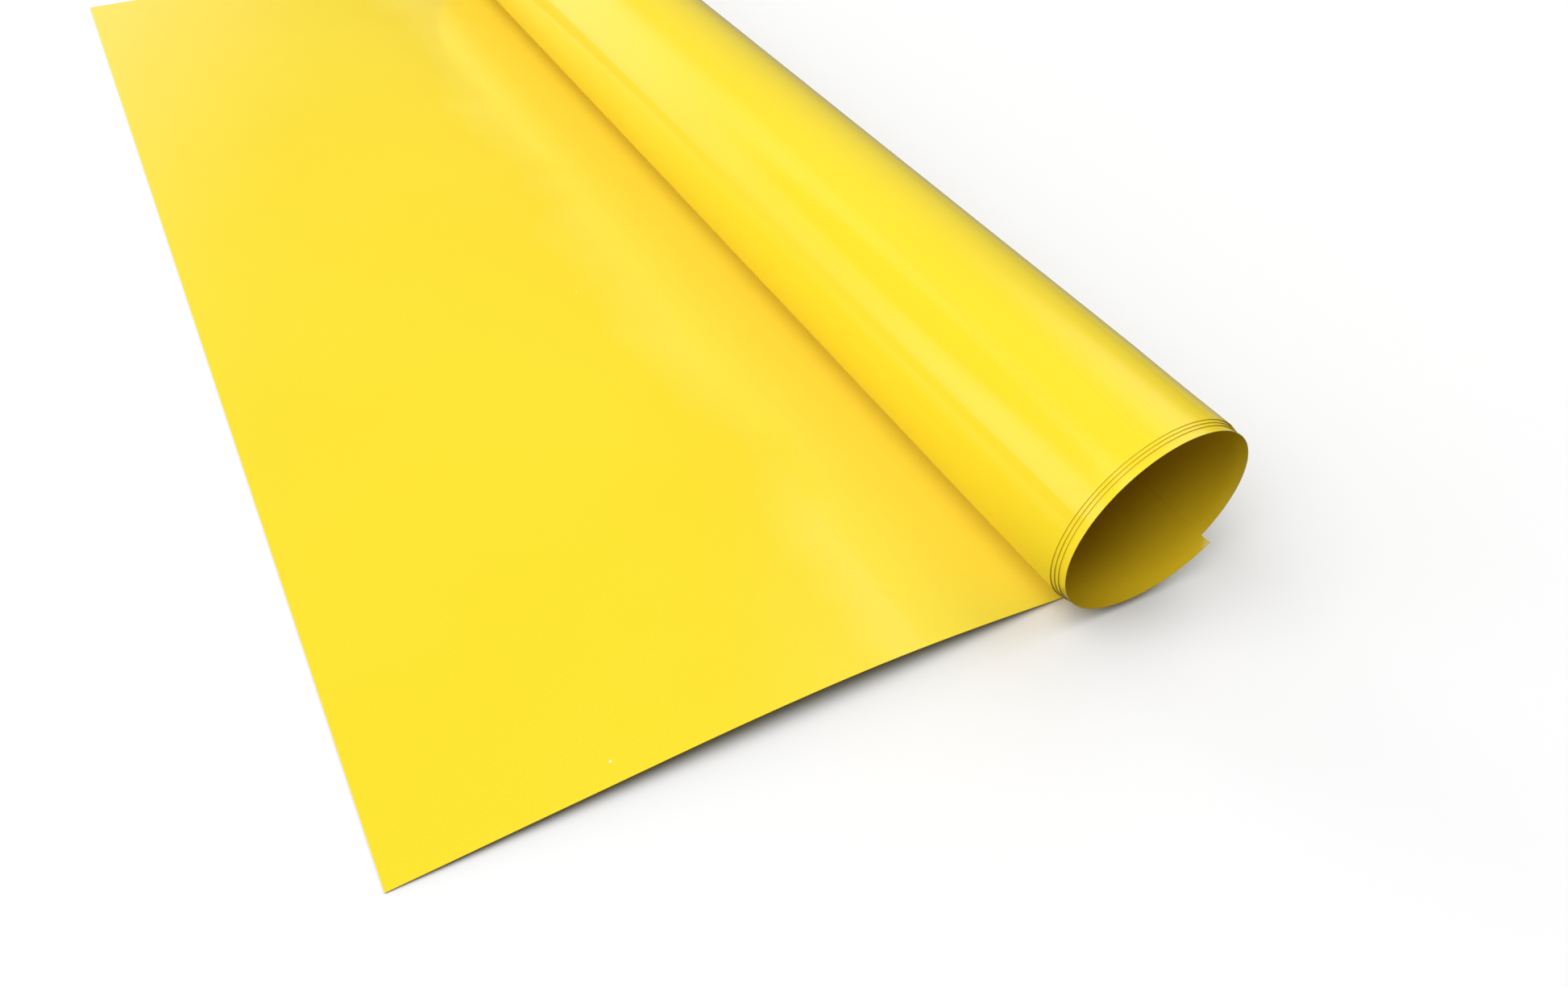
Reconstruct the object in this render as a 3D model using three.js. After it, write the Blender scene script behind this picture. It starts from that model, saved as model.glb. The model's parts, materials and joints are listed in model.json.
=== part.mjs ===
// A loosely wound roll of yellow sign vinyl with its lead paid out flat. Millimetres, +Z up.
//
// The web is two real layers: a self-adhesive vinyl film and the clear release liner under it.
// It runs along +X as a bowed lead, passes under the roll and winds up anticlockwise, seen
// from the near end (-Y), so the liner is the outer skin of the roll and the film the inner one.
// Each layer is cut into zones wherever the web bends or shifts as the roll is used.

import * as THREE from "three";

// Driving dimensions.
const webWidth = 610;
const rollRadius = 38;
const turnPitch = 0.55;
const woundTurns = 4.16;
const leadLength = 242;

// The free end lifts as a flap, and past the flap's root strip the film peels off its liner.
const flapLength = 70;
const flapRootLength = 20;

// The lead rises from its free edge at a steady slope, then falls back into the nip.
const leadSlope = 0.0658;
const bowStart = 161;
const bowEnd = 16;
const bowSharpness = 1.15;

// How far each turn in order stands out of the near end beyond the one outside it.
const telescoping = [4.9, 1.9, 1.9, 3.8, 3.8];

// The two layers, measured inwards from the outside face of the web.
const liner = { low: 0, high: 0.08 };
const film = { low: 0.1, high: 0.2 };

// The clear gap left where two zones of one layer meet.
const zoneGap = 0.3;

const stepsPerTurn = 72;
const leadSteps = 36;
const flapSteps = 7;
const flapRootSteps = 2;

const filmMaterial = new THREE.MeshStandardMaterial({ color: 0xfde32f, roughness: 0.35, metalness: 0 });
const linerMaterial = new THREE.MeshStandardMaterial({ color: 0xf3d83c, roughness: 0.2, metalness: 0 });

/** Height of the lead's underside at x, the distance from the roll's axis (negative on the lead). */
function leadHeight(x) {
  const v = THREE.MathUtils.clamp((x + bowStart) / (bowStart - bowEnd), 0, 1);
  return leadSlope * (x + leadLength) * Math.cos(Math.PI / 2 * v) ** bowSharpness;
}

/** Where the web's outside face is on the lead, and which way the film lies from it. */
function leadPlace(x) {
  const delta = 0.01;
  const slope = (leadHeight(x + delta) - leadHeight(x - delta)) / (2 * delta);
  const length = Math.hypot(1, slope);
  return { x, z: leadHeight(x), inX: -slope / length, inZ: 1 / length, edge: 0 };
}

/** How far the near edge of the web has crept out of the roll after this many turns. */
function edgeAfter(turns) {
  const whole = Math.floor(turns);
  const before = telescoping.slice(0, whole).reduce((sum, step) => sum + step, 0);
  return -(before + (turns - whole) * telescoping[whole]);
}

/** Where the web's outside face is after this many turns, counted from the nip under the roll. */
function woundPlace(turns) {
  const angle = (turns - 0.25) * 2 * Math.PI;
  const radius = rollRadius - turnPitch * turns;
  const outX = Math.cos(angle);
  const outZ = Math.sin(angle);
  return {
    x: radius * outX,
    z: rollRadius + radius * outZ,
    inX: -outX,
    inZ: -outZ,
    edge: edgeAfter(turns),
  };
}

/** One layer of one zone: a flat strip, divided along its length and bent along the web. */
function strip(name, layer, material, place, from, to, steps) {
  const geometry = new THREE.BoxGeometry(1, 1, 1, steps, 1, 1);
  const corner = geometry.attributes.position;
  for (let i = 0; i < corner.count; i += 1) {
    const along = THREE.MathUtils.lerp(from, to, corner.getX(i) + 0.5);
    const inwards = THREE.MathUtils.lerp(layer.low, layer.high, corner.getZ(i) + 0.5);
    const at = place(along);
    const y = at.edge + (corner.getY(i) + 0.5) * webWidth;
    corner.setXYZ(i, at.x + at.inX * inwards, y, at.z + at.inZ * inwards);
  }
  geometry.computeVertexNormals();
  const mesh = new THREE.Mesh(geometry, material);
  mesh.name = name;
  return mesh;
}

/** Both layers of one zone, as two separate solids. */
function zone(name, place, from, to, steps) {
  return [
    strip(`${name}_liner`, liner, linerMaterial, place, from, to, steps),
    strip(`${name}_film`, film, filmMaterial, place, from, to, steps),
  ];
}

/** A zone of the wound web, between two counts of turns, clear of its neighbours at both ends. */
function turnZone(name, fromTurn, toTurn) {
  const clear = zoneGap / 2 / (2 * Math.PI * rollRadius);
  const steps = Math.round((toTurn - fromTurn) * stepsPerTurn);
  return zone(name, woundPlace, fromTurn + clear, toTurn - clear, steps);
}

// The flap lifts at flapHinge, and the film peels back to peelLine.
const flapHinge = flapLength - leadLength;
const peelLine = flapHinge - flapRootLength;
const half = zoneGap / 2;

const group = new THREE.Group();
group.add(
  strip("flap_liner", liner, linerMaterial, leadPlace, -leadLength, flapHinge - half, flapSteps),
  strip("flap_film", film, filmMaterial, leadPlace, -leadLength, peelLine - half, flapSteps),
  strip("flap_root_film", film, filmMaterial, leadPlace, peelLine + half, flapHinge - half, flapRootSteps),
  ...zone("lead", leadPlace, flapHinge + half, -half, leadSteps),
  ...turnZone("outer_turn", 0, 1),
  ...turnZone("second_turn", 1, 2),
  ...turnZone("third_turn", 2, 3),
  ...turnZone("inner_turn", 3, woundTurns),
);

// The origin is the middle of the footprint, on the table.
const box = new THREE.Box3().setFromObject(group);
const centre = box.getCenter(new THREE.Vector3());
group.position.set(-centre.x, -centre.y, -box.min.z);

export default group;
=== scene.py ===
"""A loosely wound roll of yellow sign vinyl, its lead paid out on a pale table.

The web is two closed shells, a vinyl film and the clear release liner under it, rebuilt finely
along the same path as the CAD zones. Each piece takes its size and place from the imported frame.
"""

import json
import math

import bpy
import numpy as np
from mathutils import Matrix, Vector


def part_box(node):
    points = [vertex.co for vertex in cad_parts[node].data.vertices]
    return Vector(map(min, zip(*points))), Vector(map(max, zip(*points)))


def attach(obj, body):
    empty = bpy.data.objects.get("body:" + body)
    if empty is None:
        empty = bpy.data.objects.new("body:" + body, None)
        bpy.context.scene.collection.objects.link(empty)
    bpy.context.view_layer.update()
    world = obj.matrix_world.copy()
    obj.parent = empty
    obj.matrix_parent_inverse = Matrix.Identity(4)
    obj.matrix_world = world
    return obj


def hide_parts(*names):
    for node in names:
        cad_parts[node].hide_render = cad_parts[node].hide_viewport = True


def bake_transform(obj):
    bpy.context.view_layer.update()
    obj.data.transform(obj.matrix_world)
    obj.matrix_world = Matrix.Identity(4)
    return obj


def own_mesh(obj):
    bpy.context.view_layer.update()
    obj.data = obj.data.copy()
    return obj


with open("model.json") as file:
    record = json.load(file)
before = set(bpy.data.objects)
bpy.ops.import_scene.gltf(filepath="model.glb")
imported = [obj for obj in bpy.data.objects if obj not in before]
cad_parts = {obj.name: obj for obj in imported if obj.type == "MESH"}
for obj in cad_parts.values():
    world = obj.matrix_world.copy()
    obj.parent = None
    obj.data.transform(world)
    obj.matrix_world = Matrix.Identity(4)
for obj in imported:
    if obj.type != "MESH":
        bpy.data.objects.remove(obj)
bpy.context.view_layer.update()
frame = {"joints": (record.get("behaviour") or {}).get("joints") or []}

# ---------------------------------------------------------------- sizes from the frame

joints = {joint["name"]: joint for joint in frame["joints"]}
axis_x, _, roll_radius = joints["roll_spin"]["pos_m"]
flap_x = joints["flap_lift"]["pos_m"][0]
peel_x = joints["film_peel"]["pos_m"][0]

lead_low, lead_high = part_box("lead_liner")
web_width = lead_high.y - lead_low.y
turn_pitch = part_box("outer_turn_liner")[1].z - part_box("second_turn_liner")[1].z
lead_length = axis_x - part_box("flap_liner")[0].x

WOUND_TURNS = 4.16
turn_marks = [0, 1, 2, 3, WOUND_TURNS]
edge_marks = [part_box(f"{zone}_liner")[0].y for zone in
              ("lead", "outer_turn", "second_turn", "third_turn", "inner_turn")]

# The lead's bow, as the CAD zones have it: how steeply it rises from its free edge, how far before
# the nip it starts and ends its fall, and how sharply it falls.
LEAD_SLOPE = 0.0658
BOW_START = 0.161
BOW_END = 0.016
BOW_SHARPNESS = 1.15

# The two layers, measured inwards from the web's outside face.
LINER = (0.0, 0.00008)
FILM = (0.0001, 0.0002)

STEPS_PER_TURN = 120
LEAD_STEPS = 110
FLAP_STEPS = 36
ROOT_STEPS = 12
FACE_STEPS = 30
MM = 0.001

# ---------------------------------------------------------------- camera

CAMERA_FROM_NIP = Vector((-6.3203, -4.0085, 7.1745))
CAMERA_AZIMUTH = math.radians(-34.663)
CAMERA_ELEVATION = math.radians(43.52)
CAMERA_ROLL = math.radians(6.785)
CAMERA_LENS = 25.27


def make_camera():
    """The camera stands off the near end of the nip by so many roll radii, and tilts a little."""
    data = bpy.data.cameras.new("camera")
    data.lens = CAMERA_LENS
    camera = bpy.data.objects.new("camera", data)
    bpy.context.scene.collection.objects.link(camera)
    level = math.cos(CAMERA_ELEVATION)
    back = Vector((math.sin(CAMERA_AZIMUTH) * level, -math.cos(CAMERA_AZIMUTH) * level,
                   math.sin(CAMERA_ELEVATION)))
    camera.rotation_mode = "QUATERNION"
    aim = (-back).to_track_quat("-Z", "Y").to_matrix()
    camera.rotation_quaternion = (aim @ Matrix.Rotation(CAMERA_ROLL, 3, "Z")).to_quaternion()
    nip = Vector((axis_x, lead_low.y, 0))
    camera.location = nip + CAMERA_FROM_NIP * roll_radius
    bpy.context.scene.camera = camera


make_camera()

# ---------------------------------------------------------------- the web's path


def lead_height(x):
    """Height of the lead's underside at x, measured from the roll's axis."""
    fall = np.clip((x + BOW_START) / (BOW_START - BOW_END), 0, 1)
    return LEAD_SLOPE * (x + lead_length) * np.cos(np.pi / 2 * fall) ** BOW_SHARPNESS


# Each ripple's turning per metre along and across the web, in radians, and where it starts.
RIPPLES = ((61, 17, 0.3), (38, -29, 1.7), (97, 41, 4.1), (23, 71, 2.2))
LEAD_RIPPLE = 0.07 * MM
ROLL_RIPPLE = 0.03 * MM
# The ripples fade over this much of the lead at both its ends, and of the roll from the nip.
LEAD_SETTLING = 0.04
SETTLING_TURNS = 0.2


def ripple(along, across):
    """A faint unevenness, from -1 to 1, that wanders over a stretch of web."""
    waves = (np.sin(per_along * along + per_across * across + start)
             for per_along, per_across, start in RIPPLES)
    return sum(waves) / len(RIPPLES)


def lead_points(along, across, inwards):
    """Points of the lead; along runs from minus the lead's length to 0 at the nip."""
    delta = 0.1 * MM
    slope = (lead_height(along + delta) - lead_height(along - delta)) / (2 * delta)
    length = np.hypot(1, slope)
    settled = np.clip(np.minimum(-along, along + lead_length) / LEAD_SETTLING, 0, 1)
    height = lead_height(along) + LEAD_RIPPLE * settled * (1 + ripple(along, across))
    x = axis_x + along - inwards * slope / length
    y = lead_low.y + across + 0 * along
    return np.stack([x, y, height + inwards / length], -1)


# The free rim's flare starts this far beyond the lead's near edge, where the outer turn ends, so
# that the turns clear each other as they turn. At RIM_DEPTH it has the shape given below.
RIM_START = 6 * MM
RIM_DEPTH = 12.5 * MM
RIM_POWER = 1.5
RIM_LIMIT = 1.2
# The parts of the flare's shape, in millimetres.
FLARE_ALL_ROUND = 0.18
FLARE_RIGHT = 0.75
FLARE_UP = 0.7
FLARE_OVAL = 1.28


def rim_flare(angle, y):
    """How far the free rim springs out of round: out to the right, in at the bottom."""
    past_start = (lead_low.y - RIM_START - y) / (RIM_DEPTH - RIM_START)
    depth = np.clip(past_start, 0, RIM_LIMIT) ** RIM_POWER
    leaning = FLARE_RIGHT * np.cos(angle) + FLARE_UP * np.sin(angle)
    shape = FLARE_ALL_ROUND + leaning + FLARE_OVAL * np.cos(2 * angle)
    return MM * shape * depth


EDGE_LEAN = 6 * MM
# Near the rim, each turn comes this much closer to the one outside it, and CLOSED_TURN stays put.
# They are closed up to the first distance in from the lead's near edge, and not from the second.
CLOSED_GAP = 0.2 * MM
CLOSED_TURN = 2
CLOSED_DEPTH = (10 * MM, 45 * MM)


def smooth(share):
    """Eases a share from 0 to 1 at both its ends."""
    return share * share * (3 - 2 * share)


def edge_lean(turns, across):
    """How far a near edge leans out and comes back within its turn, less on every turn inwards."""
    fade = np.clip(1 - across / (web_width / 2), 0, 1)
    return -EDGE_LEAN * np.sin(np.pi * (turns % 1)) * np.exp(-turns) * fade


def rim_closing(turns, y):
    """How far a turn shifts outwards, to lie nearer the one outside it, close to the free rim."""
    full, none = CLOSED_DEPTH
    closed = smooth(np.clip((lead_low.y + none - y) / (none - full), 0, 1))
    return CLOSED_GAP * (turns - CLOSED_TURN) * closed


def wound_points(turns, across, inwards):
    """Points of the wound web after so many turns from the nip, anticlockwise from the near end."""
    angle = (turns - 0.25) * 2 * np.pi
    y = np.interp(turns, turn_marks, edge_marks) + edge_lean(turns, across) + across
    settled = np.clip(turns / SETTLING_TURNS, 0, 1)
    radius = roll_radius - turn_pitch * turns - inwards
    radius = radius + rim_flare(angle, y) + settled * rim_closing(turns, y)
    radius = radius + ROLL_RIPPLE * settled * ripple(angle * roll_radius, across)
    return np.stack([axis_x + radius * np.cos(angle), y, roll_radius + radius * np.sin(angle)], -1)


# ---------------------------------------------------------------- shells

# Rows of points near an edge of the web, by their distance from it in millimetres.
EDGE_ROWS = (0, 0.4, 1, 2, 3.5, 5.5, 8, 11, 15, 20, 28)
SHARP_ANGLE = math.radians(40)


def across_rows(middle_step):
    """Places across the web, close together at its two edges."""
    edge = np.array(EDGE_ROWS) * MM
    middle = np.arange(edge[-1] + middle_step, web_width - edge[-1] - middle_step / 2, middle_step)
    return np.concatenate([edge, middle, web_width - edge[::-1]])


def quads(*corners):
    """Four-sided faces, from four matching grids of point numbers."""
    return np.stack([corner.ravel() for corner in corners], -1)


def shell_faces(low, high):
    """The two sides of a shell, its two edges along the web and its two cut ends."""
    return np.concatenate([
        quads(low[:-1, :-1], low[:-1, 1:], low[1:, 1:], low[1:, :-1]),
        quads(high[:-1, :-1], high[1:, :-1], high[1:, 1:], high[:-1, 1:]),
        quads(low[:-1, 0], low[1:, 0], high[1:, 0], high[:-1, 0]),
        quads(low[:-1, -1], high[:-1, -1], high[1:, -1], low[1:, -1]),
        quads(low[0, :-1], high[0, :-1], high[0, 1:], low[0, 1:]),
        quads(low[-1, :-1], low[-1, 1:], high[-1, 1:], high[-1, :-1]),
    ])


def store(mesh, name, kind, field, values):
    """Keeps a value at every point, the same on both sides of the shell."""
    attribute = mesh.attributes.new(name, kind, "POINT")
    both_sides = np.concatenate([values, values]).astype(np.float32)
    attribute.data.foreach_set(field, both_sides.ravel())


def shell(name, points, layer, places, rows, material):
    """A closed thin shell of one layer over a stretch of web, with sharp cut edges.

    The places along it are in metres on the lead and in turns on the roll.
    """
    along, across = np.meshgrid(places, rows, indexing="ij")
    sides = [points(along, across, inwards).reshape(-1, 3) for inwards in layer]
    low = np.arange(along.size).reshape(along.shape)
    mesh = bpy.data.meshes.new(name)
    faces = shell_faces(low, low + along.size)
    mesh.from_pydata(np.concatenate(sides).tolist(), [], faces.tolist())
    mesh.polygons.foreach_set("use_smooth", [True] * len(mesh.polygons))
    mesh.set_sharp_from_angle(angle=SHARP_ANGLE)
    metres = along if points is lead_points else along * 2 * np.pi * roll_radius
    web_place = np.stack([metres, across, 0 * across], -1).reshape(-1, 3)
    store(mesh, "web_place", "FLOAT_VECTOR", "vector", web_place)
    share = (along - places[0]) / (places[-1] - places[0])
    store(mesh, "along_zone", "FLOAT", "value", share.ravel())
    mesh.materials.append(material)
    piece = bpy.data.objects.new(name, mesh)
    bpy.context.scene.collection.objects.link(piece)
    return piece


# ---------------------------------------------------------------- materials

YELLOW = (0.955, 0.755, 0.032, 1)
DEEP_YELLOW = (0.945, 0.735, 0.027, 1)
LINER_YELLOW = (0.945, 0.745, 0.034, 1)
LINER_DEEP = (0.935, 0.725, 0.029, 1)
GRAIN = (0.90, 0.66, 0.022, 1)
DUST = (1.0, 0.93, 0.55, 1)
# Painted shade: a darker, warmer yellow for the inner turn, standing in for the shade in the roll's
# hollow.
HOLLOW_SHADE = (0.92, 0.64, 0.022, 1)
# Painted reflection: a paler yellow for a band on the lead by the nip, where the sheet would mirror
# the roll.
PAINTED_REFLECTION = (0.96, 0.785, 0.075, 1)

# Each layer's base roughness, and the height of its orange peel. The finer grain on top of that
# is FINE_SHARE as high.
FILM_SURFACE = (0.15, 0.012 * MM)
LINER_SURFACE = (0.12, 0.008 * MM)
FINE_SHARE = 0.06

# Metres along the web from the nip, between which two painted marks set in: a paler band on the lead
# by the nip, a painted reflection of the roll, and a darker, warmer inner turn, painted shade for
# the dark hollow.
REFLECTION_BAND_EDGE = (-0.095, -0.068)
REFLECTION_BAND_WANDER = 0.012
HOLLOW_SHADE_EDGE = (0.70, 0.73)


class Nodes:
    """A short way to add nodes to a material or world and link them."""

    def __init__(self, holder):
        holder.use_nodes = True
        self.tree = holder.node_tree

    def named(self, name):
        return self.tree.nodes[name]

    def add(self, kind, **settings):
        node = self.tree.nodes.new(kind)
        for key, value in settings.items():
            setattr(node, key, value)
        return node

    def link(self, source, target):
        self.tree.links.new(source, target)

    def place(self):
        """Where a point is on the flat web, in metres along and across."""
        return self.add("ShaderNodeAttribute", attribute_name="web_place").outputs["Vector"]

    def noise(self, scale, detail=2.0, roughness=0.5):
        node = self.add("ShaderNodeTexNoise")
        node.inputs["Scale"].default_value = scale
        node.inputs["Detail"].default_value = detail
        node.inputs["Roughness"].default_value = roughness
        self.link(self.place(), node.inputs["Vector"])
        return node.outputs["Fac"]

    def spots(self, scale):
        """Distance from the nearest of many scattered points."""
        node = self.add("ShaderNodeTexVoronoi", feature="F1")
        node.inputs["Scale"].default_value = scale
        self.link(self.place(), node.inputs["Vector"])
        return node.outputs["Distance"]

    def ranged(self, value, low, high, to_low, to_high, interpolation="LINEAR"):
        node = self.add("ShaderNodeMapRange", interpolation_type=interpolation)
        limits = {"From Min": low, "From Max": high, "To Min": to_low, "To Max": to_high}
        for key, number in limits.items():
            node.inputs[key].default_value = number
        self.link(value, node.inputs["Value"])
        return node.outputs["Result"]

    def mixed(self, share, first, second):
        node = self.add("ShaderNodeMix", data_type="RGBA")
        self.link(share, node.inputs["Factor"])
        for socket, colour in ((node.inputs[6], first), (node.inputs[7], second)):
            if isinstance(colour, tuple):
                socket.default_value = colour
            else:
                self.link(colour, socket)
        return node.outputs[2]

    def worked_out(self, operation, first, second):
        node = self.add("ShaderNodeMath", operation=operation)
        self.link(first, node.inputs[0])
        self.link(second, node.inputs[1])
        return node.outputs["Value"]

    def bump(self, height, distance, under=None):
        node = self.add("ShaderNodeBump")
        node.inputs["Strength"].default_value = 1.0
        node.inputs["Distance"].default_value = distance
        self.link(height, node.inputs["Height"])
        if under is not None:
            self.link(under, node.inputs["Normal"])
        return node.outputs["Normal"]


def yellow_sheet(nodes, light, deep):
    """The web's colour: faint clouding, fine calender grain and stray dust."""
    clouds = nodes.ranged(nodes.noise(scale=9, detail=3), 0.35, 0.65, 0, 1)
    colour = nodes.mixed(clouds, light, deep)
    grain = nodes.ranged(nodes.noise(scale=1900, roughness=0.7), 0.35, 0.7, 0, 0.7)
    colour = nodes.mixed(grain, colour, GRAIN)
    dust = nodes.ranged(nodes.spots(scale=34), 0.012, 0.02, 0.8, 0)
    return nodes.mixed(dust, colour, DUST)


def web_material(name, colour, surface):
    """A glossy sheet with uneven gloss and an orange peel; colour makes its colour nodes."""
    material = bpy.data.materials.new(name)
    nodes = Nodes(material)
    shader = nodes.named("Principled BSDF")
    gloss, peel_height = surface
    nodes.link(colour(nodes), shader.inputs["Base Color"])
    uneven = nodes.ranged(nodes.noise(scale=26, detail=3), 0.3, 0.7, gloss - 0.02, gloss + 0.03)
    nodes.link(uneven, shader.inputs["Roughness"])
    peel = nodes.bump(nodes.noise(scale=260), peel_height)
    fine = nodes.bump(nodes.noise(scale=1500), peel_height * FINE_SHARE, peel)
    nodes.link(fine, shader.inputs["Normal"])
    shader.inputs["IOR"].default_value = 1.5
    shader.inputs["Specular IOR Level"].default_value = 0.3
    return material


def film_colour(nodes):
    """Vinyl yellow, with a painted reflection, a paler band on the lead by the nip, and painted
    shade, a darker warmer inner turn in the hollow.
    """
    colour = yellow_sheet(nodes, YELLOW, DEEP_YELLOW)
    split = nodes.add("ShaderNodeSeparateXYZ")
    nodes.link(nodes.place(), split.inputs["Vector"])
    along = split.outputs["X"]
    # Painted reflection: a paler band on the lead near the nip, its edge wandering a little.
    wander = nodes.ranged(nodes.noise(scale=14, detail=3), 0.3, 0.7, -REFLECTION_BAND_WANDER, REFLECTION_BAND_WANDER)
    reflection_band = nodes.ranged(nodes.worked_out("ADD", along, wander), *REFLECTION_BAND_EDGE, 0, 1)
    # Painted shade: the inner turn darkens and warms, as the hollow is in shade.
    hollow_shade = nodes.ranged(along, *HOLLOW_SHADE_EDGE, 0, 1)
    return nodes.mixed(hollow_shade, nodes.mixed(reflection_band, colour, PAINTED_REFLECTION), HOLLOW_SHADE)


def liner_colour(nodes):
    """The film's yellow, seen through the clear liner."""
    return yellow_sheet(nodes, LINER_YELLOW, LINER_DEEP)


def liner_material():
    """Clear polyester over the yellow film: the same yellow under a harder gloss."""
    material = web_material("release_liner", liner_colour, LINER_SURFACE)
    shader = material.node_tree.nodes["Principled BSDF"]
    shader.inputs["Coat Weight"].default_value = 0.1
    shader.inputs["Coat IOR"].default_value = 1.35
    shader.inputs["Coat Roughness"].default_value = 0.08
    return material


film = web_material("vinyl_film", film_colour, FILM_SURFACE)
liner = liner_material()

# ---------------------------------------------------------------- pieces


def bend_along_web(piece):
    """Bakes the piece in place and reads each point's share along its zone, which is not used."""
    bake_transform(piece)
    share = np.zeros(len(piece.data.vertices), np.float32)
    piece.data.attributes["along_zone"].data.foreach_get("value", share)


def stations(first, last, steps):
    return np.linspace(first, last, steps + 1)


def both_layers(zone, points, places, rows):
    """The liner and film of one zone, as two pieces that replace its two CAD nodes."""
    made = []
    for kind, layer, material in (("liner", LINER, liner), ("film", FILM, film)):
        piece = shell(f"web_{zone}_{kind}", points, layer, places, rows, material)
        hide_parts(f"{zone}_{kind}")
        made.append(piece)
    return made


FINE_ROWS = across_rows(15 * MM)
COARSE_ROWS = across_rows(80 * MM)
flap_from = -lead_length
flap_to = flap_x - axis_x
peel_to = peel_x - axis_x


def make_lead():
    """The lead, from the flap to the nip, attached to the lead body."""
    for piece in both_layers("lead", lead_points, stations(flap_to, 0, LEAD_STEPS), FINE_ROWS):
        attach(piece, "lead")
        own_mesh(piece)


def flap_shell(node, layer, places, material):
    """One piece of the free end, replacing its CAD node."""
    piece = shell(f"web_{node}", lead_points, layer, places, FINE_ROWS, material)
    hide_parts(node)
    return piece


def make_flap():
    """The free end: its liner, the film's root strip and the film's face, as three pieces baked in
    place.
    """
    under = flap_shell("flap_liner", LINER, stations(flap_from, flap_to, FLAP_STEPS), liner)
    root = flap_shell("flap_root_film", FILM, stations(peel_to, flap_to, ROOT_STEPS), film)
    face = flap_shell("flap_film", FILM, stations(flap_from, peel_to, FACE_STEPS), film)
    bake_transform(under)
    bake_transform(root)
    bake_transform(face)


def make_turns():
    """The roll's four turns: the outer one is attached to the roll, and each turn inside it is baked
    in place.
    """
    turns = (
        ("outer_turn", 0, 1, FINE_ROWS, None),
        ("second_turn", 1, 2, COARSE_ROWS, "roll"),
        ("third_turn", 2, 3, COARSE_ROWS, "second_turn"),
        ("inner_turn", 3, WOUND_TURNS, FINE_ROWS, "third_turn"),
    )
    for zone, first, last, rows, outside in turns:
        places = stations(first, last, round((last - first) * STEPS_PER_TURN))
        for piece in both_layers(zone, wound_points, places, rows):
            if outside is None:
                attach(piece, "roll")
            else:
                bend_along_web(piece)


make_turns()
make_lead()
make_flap()

# ---------------------------------------------------------------- stage and light

WHITE = (1, 1, 1, 1)
FLOOR_SIZE = 8
FLOOR_DROP = 0.3 * MM
# The table's tone as it is seen, and as it lights the object, which a white sweep would wash out.
FLOOR_TONE = 0.93
FLOOR_BOUNCE = 0.25


def make_floor():
    """A pale table, a hair under the web."""
    bpy.ops.mesh.primitive_plane_add(size=FLOOR_SIZE, location=(0, 0, -FLOOR_DROP))
    floor = bpy.context.object
    floor.name = "table"
    material = bpy.data.materials.new("pale_table")
    nodes = Nodes(material)
    shader = nodes.named("Principled BSDF")
    shader.inputs["Roughness"].default_value = 0.9
    shader.inputs["Specular IOR Level"].default_value = 0.1
    seen = nodes.add("ShaderNodeLightPath").outputs["Is Camera Ray"]
    nodes.link(nodes.ranged(seen, 0, 1, FLOOR_BOUNCE, FLOOR_TONE), shader.inputs["Base Color"])
    floor.data.materials.append(material)


def direction(azimuth, elevation):
    """A unit vector; azimuth 0 is +Y and 90 is +X."""
    around = math.radians(azimuth)
    rise = math.radians(elevation)
    return (math.sin(around) * math.cos(rise), math.cos(around) * math.cos(rise), math.sin(rise))


# Soft lights in a dim studio: azimuth, elevation, half angle, soft edge and radiance.
# The key and the right fill stand where the roll and the sheet don't mirror them to the camera.
SOFT_LIGHTS = {
    "key": (268, 50, 23, 10, 4.15),
    "right_fill": (82, 50, 24, 12, 1.7),
    "overhead": (0, 90, 20, 10, 0.5),
    "back_wall": (25, 35, 38, 25, 0.28),
    "side_wall": (-40, 20, 30, 8, 0.8),
    "back_strip": (345, 8, 16, 10, 1.0),
    "left_low": (292, 10, 14, 9, 1.8),
}
ROOM_LIGHT = 0.02
# A dark card in front of the side wall, which the roll mirrors as its one deeper streak.
CARD = (-43, 32, 12, 3, 0.97)


def round_patch(nodes, towards, spot, outside, inside):
    """A round, soft-edged patch of the surroundings, with one value inside it and one outside."""
    azimuth, elevation, half_angle, soft = spot
    facing = nodes.add("ShaderNodeVectorMath", operation="DOT_PRODUCT")
    facing.inputs[1].default_value = direction(azimuth, elevation)
    nodes.link(towards, facing.inputs[0])
    rim = math.cos(math.radians(half_angle + soft))
    full = math.cos(math.radians(half_angle - soft))
    return nodes.ranged(facing.outputs["Value"], rim, full, outside, inside, "SMOOTHSTEP")


def studio_light(nodes):
    """The strength of the light from each direction."""
    towards = nodes.add("ShaderNodeTexCoord").outputs["Generated"]
    *card_spot, depth = CARD
    light = round_patch(nodes, towards, card_spot, ROOM_LIGHT, 0)
    for *spot, radiance in SOFT_LIGHTS.values():
        light = nodes.worked_out("ADD", light, round_patch(nodes, towards, spot, 0, radiance))
    return nodes.worked_out("MULTIPLY", light, round_patch(nodes, towards, card_spot, 1, 1 - depth))


def make_world():
    """A dim room with a few large soft lights, seen as plain white where the floor ends."""
    world = bpy.data.worlds.new("studio")
    bpy.context.scene.world = world
    nodes = Nodes(world)
    studio = nodes.named("Background")
    studio.inputs["Color"].default_value = WHITE
    nodes.link(studio_light(nodes), studio.inputs["Strength"])
    plain = nodes.add("ShaderNodeBackground")
    plain.inputs["Color"].default_value = WHITE
    mix = nodes.add("ShaderNodeMixShader")
    nodes.link(nodes.add("ShaderNodeLightPath").outputs["Is Camera Ray"], mix.inputs["Fac"])
    nodes.link(studio.outputs["Background"], mix.inputs[1])
    nodes.link(plain.outputs["Background"], mix.inputs[2])
    nodes.link(mix.outputs["Shader"], nodes.named("World Output").inputs["Surface"])


make_floor()
make_world()
bpy.context.scene.view_settings.view_transform = "Standard"
